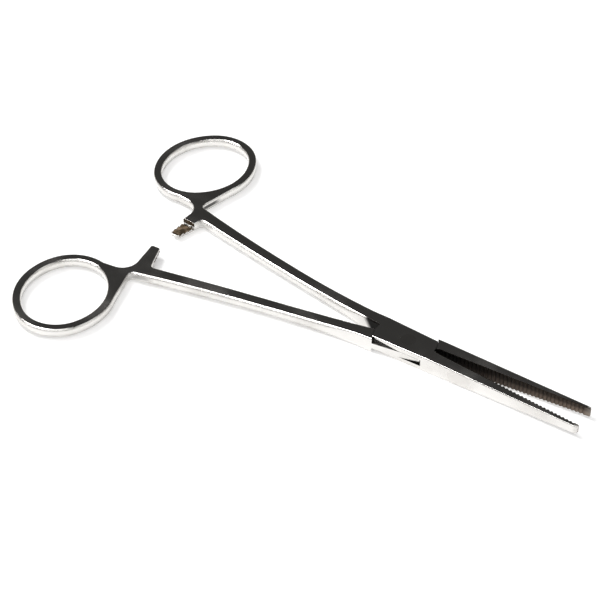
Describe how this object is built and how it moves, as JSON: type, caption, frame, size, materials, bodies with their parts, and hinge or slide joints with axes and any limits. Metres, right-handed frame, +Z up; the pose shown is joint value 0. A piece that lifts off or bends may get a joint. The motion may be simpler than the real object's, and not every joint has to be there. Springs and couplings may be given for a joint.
{
  "type": "hemostat forceps",
  "caption": "Locking steel forceps with straight serrated jaws, a slotted box hinge, curved shanks, oval finger rings and a toothed ratchet between the shanks.",
  "frame": {"origin": "on the pivot axis, at the flat underside of the box lock", "axes": "+X towards the jaw tips along the line between the two halves, +Z up along the pivot axis and square to the flat sides, +Y towards the jaw that moves and the ring that stays"},
  "size_m": [0.1378, 0.0874, 0.0043],
  "materials": {
    "steel": "polished stainless steel",
    "pin_steel": "polished stainless steel"
  },
  "bodies": {
    "slotted_side": {"box_half": "steel", "pivot_pin": "pin_steel"},
    "tongue_side": {"tongue_half": "steel"}
  },
  "joints": [
    {"name": "box_lock_hinge", "type": "hinge", "parent": "slotted_side", "child": "tongue_side", "pos_m": [0, 0, 0], "axis": [0, 0, 1], "range_deg": [-7.2, 45]}
  ]
}
